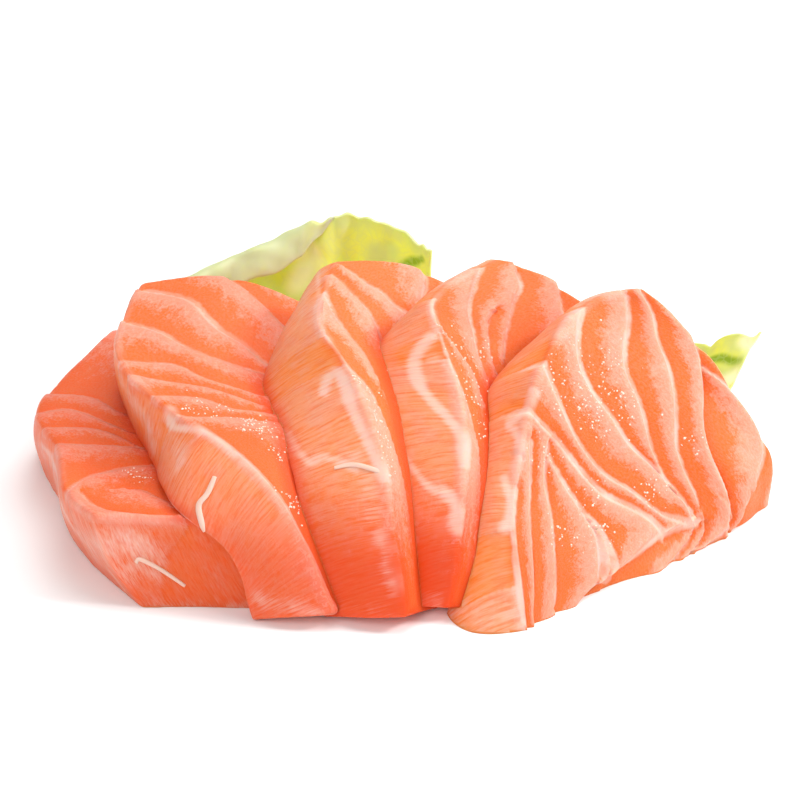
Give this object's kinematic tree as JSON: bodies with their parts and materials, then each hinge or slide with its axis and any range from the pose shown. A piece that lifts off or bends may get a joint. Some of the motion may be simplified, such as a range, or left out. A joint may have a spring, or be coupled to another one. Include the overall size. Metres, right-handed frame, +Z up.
{
  "type": "salmon sashimi",
  "caption": "Thick slices of raw salmon fanned out and leaning on one another, each with a broad marbled cut face and a rounded rim, with lettuce leaves standing behind.",
  "frame": {"origin": "on the table, under the middle of the serving's overall width and depth", "axes": "+Z up; +X along the row, from the slice that lies flat towards the one that leans on all the others; -Y is the front, where the slices' ends fan together and the leaves are behind"},
  "size_m": [0.1244, 0.091, 0.0373],
  "materials": {
    "salmon_flesh": "moist, slightly translucent orange flesh with pale fat lines",
    "lettuce": "thin, satin yellow-green leaf, paler at the folded margin"
  },
  "bodies": {
    "root": {"salmon_slice_1": "salmon_flesh", "salmon_slice_2": "salmon_flesh", "salmon_slice_3": "salmon_flesh", "salmon_slice_4": "salmon_flesh", "salmon_slice_5": "salmon_flesh", "lettuce_leaf_left": "lettuce", "lettuce_leaf_right": "lettuce"}
  },
  "joints": []
}
